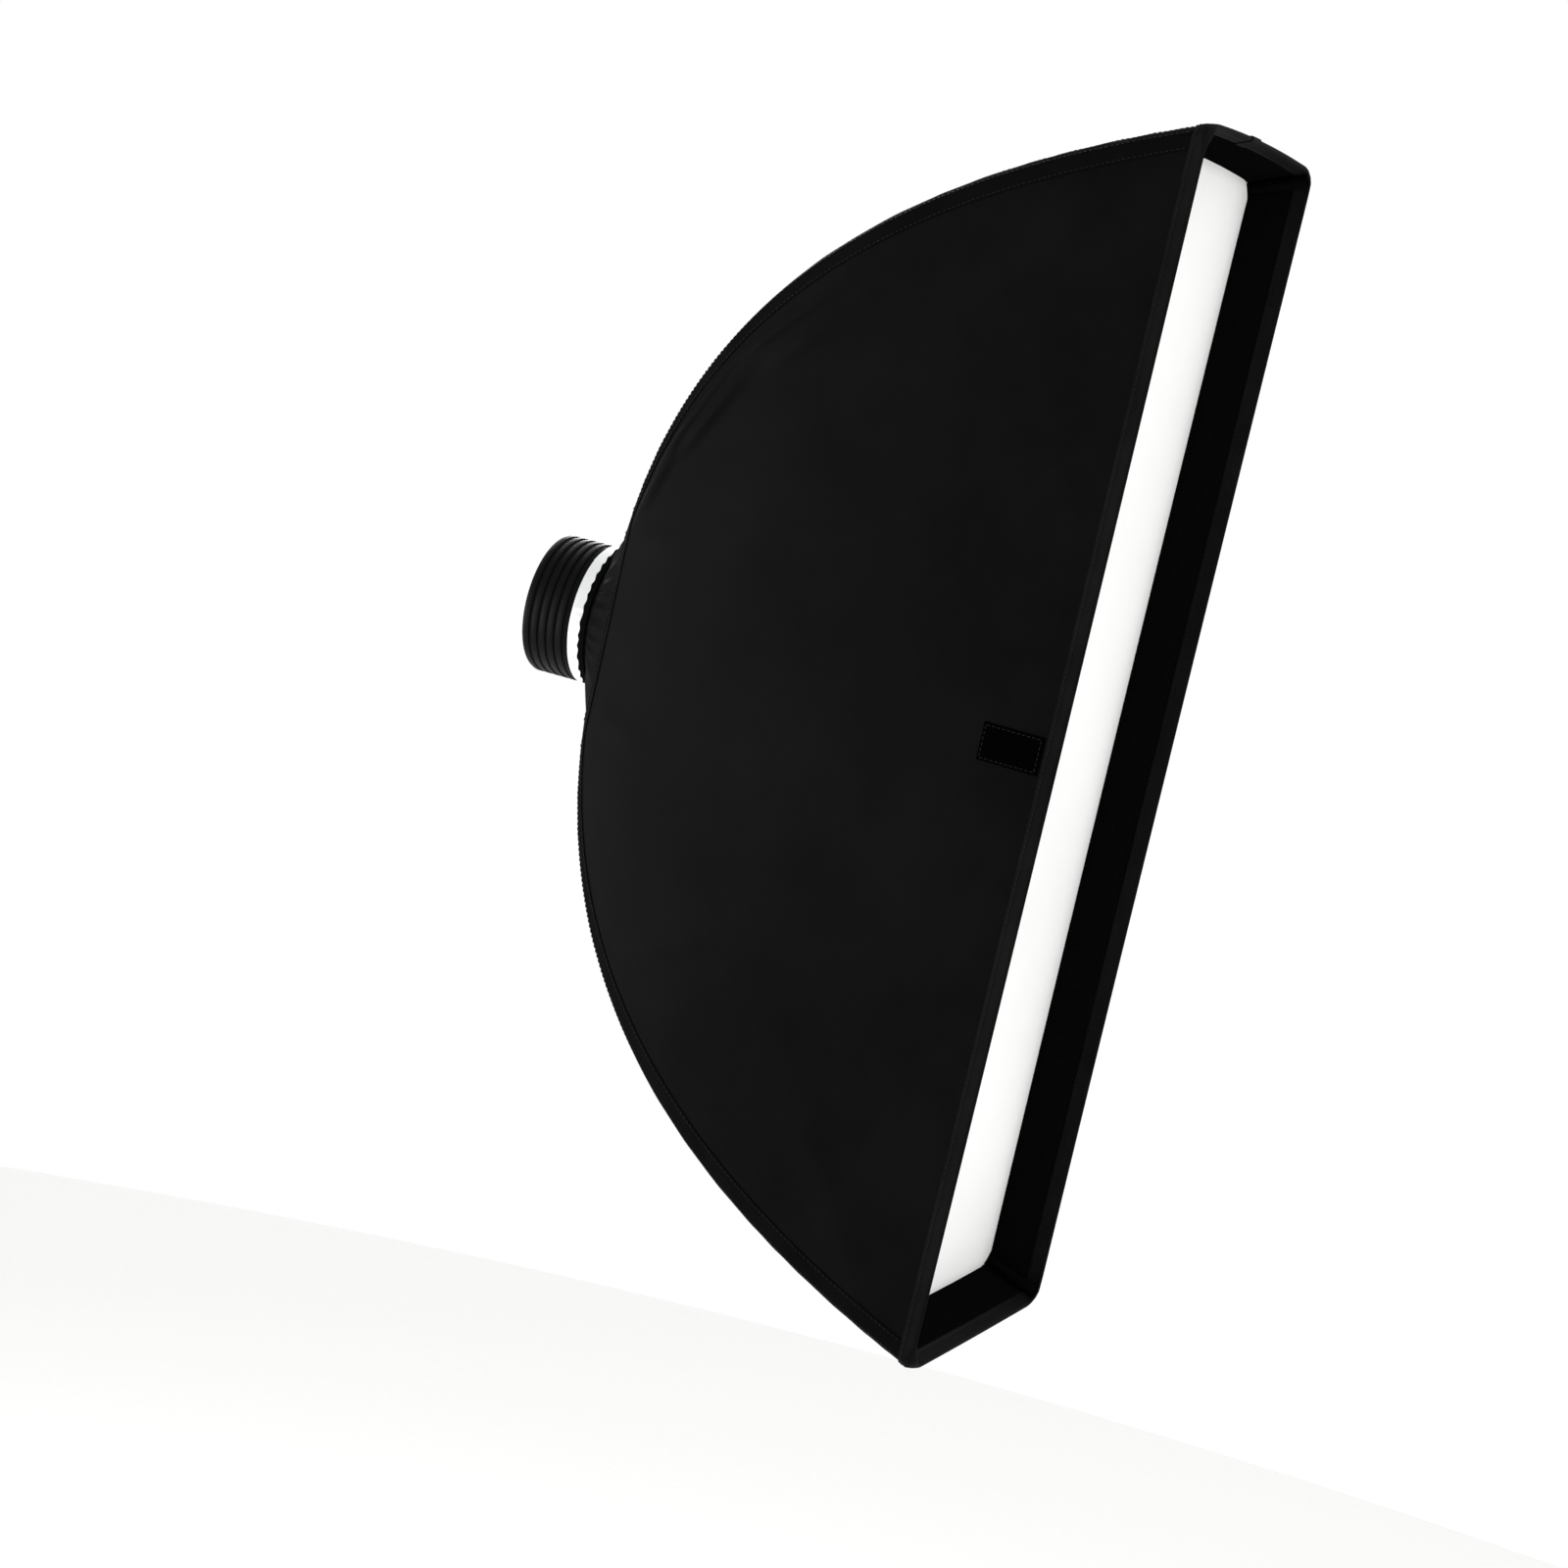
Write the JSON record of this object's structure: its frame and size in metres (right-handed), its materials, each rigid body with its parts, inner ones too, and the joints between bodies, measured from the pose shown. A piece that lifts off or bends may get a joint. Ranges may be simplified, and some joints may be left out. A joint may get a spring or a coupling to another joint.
{
  "type": "strip softbox",
  "caption": "Tall narrow fabric light box with a recessed white front, silver-lined inside, on bent rods from a turning speedring with a clamping collar.",
  "frame": {"origin": "centre of the head bore at the collar's rear mouth", "axes": "+Y backwards along the bore, the way the flash head leaves; light leaves towards -Y; +Z along the box's long side; +X to the right seen from behind the head"},
  "size_m": [0.307, 0.477, 0.9172],
  "materials": {
    "collar_black": "matt black anodised",
    "rubber": "matt",
    "steel": "satin",
    "lever_steel": "zinc plated",
    "ring_aluminium": "satin machined",
    "socket_aluminium": "satin",
    "knob_plastic": "moulded",
    "nylon": "moulded",
    "rod_composite": "pultruded glass fibre",
    "webbing_black": "woven webbing",
    "shell_cloth": "coated polyester",
    "silver_lining": "metallised",
    "loop_tape": "loop pile",
    "diffuser_white": "translucent nylon",
    "tape_white": "woven tape"
  },
  "bodies": {
    "collar": {"clamp_collar": "collar_black", "grip_liner": "rubber", "retaining_ring": "steel", "latch_pin": "steel"},
    "latch_lever": {"latch_lever": "lever_steel"},
    "latch_bail": {"latch_bail": "steel"},
    "softbox": {"speedring": "ring_aluminium", "socket_upper_left": "socket_aluminium", "socket_upper_right": "socket_aluminium", "socket_lower_left": "socket_aluminium", "socket_lower_right": "socket_aluminium", "socket_screws": "steel", "rod_upper_left": "rod_composite", "rod_upper_right": "rod_composite", "rod_lower_left": "rod_composite", "rod_lower_right": "rod_composite", "rod_tips": "knob_plastic", "sleeve_upper_left": "webbing_black", "sleeve_upper_right": "webbing_black", "sleeve_lower_left": "webbing_black", "sleeve_lower_right": "webbing_black", "pocket_upper_left": "webbing_black", "pocket_upper_right": "webbing_black", "pocket_lower_left": "webbing_black", "pocket_lower_right": "webbing_black", "side_panel_left": "shell_cloth", "side_panel_right": "shell_cloth", "end_panel_top": "shell_cloth", "end_panel_bottom": "shell_cloth", "side_lining_left": "silver_lining", "side_lining_right": "silver_lining", "end_lining_top": "silver_lining", "end_lining_bottom": "silver_lining", "rear_skirt": "shell_cloth", "closure_strap": "webbing_black", "front_binding": "webbing_black", "loop_tape": "loop_tape", "side_patches": "loop_tape", "inner_baffle": "diffuser_white", "baffle_hem": "tape_white", "baffle_tabs": "webbing_black"},
    "lock_pad": {"lock_pad": "nylon"},
    "lock_knob": {"lock_knob": "knob_plastic", "lock_screw": "steel"},
    "diffuser": {"front_diffuser": "diffuser_white", "hook_border": "tape_white"}
  },
  "joints": [
    {"name": "ring_turn", "type": "hinge", "parent": "collar", "child": "softbox", "pos_m": [0, 0, 0], "axis": [0, 1, 0], "continuous": true},
    {"name": "latch_lever_turn", "type": "hinge", "parent": "collar", "child": "latch_lever", "pos_m": [0.06, -0.019, -0.01], "axis": [0, -1, 0], "range_deg": [0, 120]},
    {"name": "latch_bail_swing", "type": "hinge", "parent": "latch_lever", "child": "latch_bail", "pos_m": [0.06, -0.019, -0.017], "axis": [0, -1, 0], "range_deg": [-140, 0]},
    {"name": "lock_travel", "type": "slide", "parent": "softbox", "child": "lock_pad", "axis": [0.866, 0, -0.5], "range_m": [0, 0.002]},
    {"name": "lock_knob_turn", "type": "hinge", "parent": "lock_pad", "child": "lock_knob", "pos_m": [0.06062, -0.0455, -0.035], "axis": [0.866, 0, -0.5], "range_deg": [0, 721]},
    {"name": "diffuser_pull", "type": "slide", "parent": "softbox", "child": "diffuser", "axis": [0, -1, 0], "range_m": [0, 0.12]}
  ],
  "couplings": [
    {"joint": "latch_bail_swing", "follows": "latch_lever_turn", "ratio": -1.15},
    {"joint": "lock_knob_turn", "follows": "lock_travel", "rad_per_m": 6283.2}
  ]
}
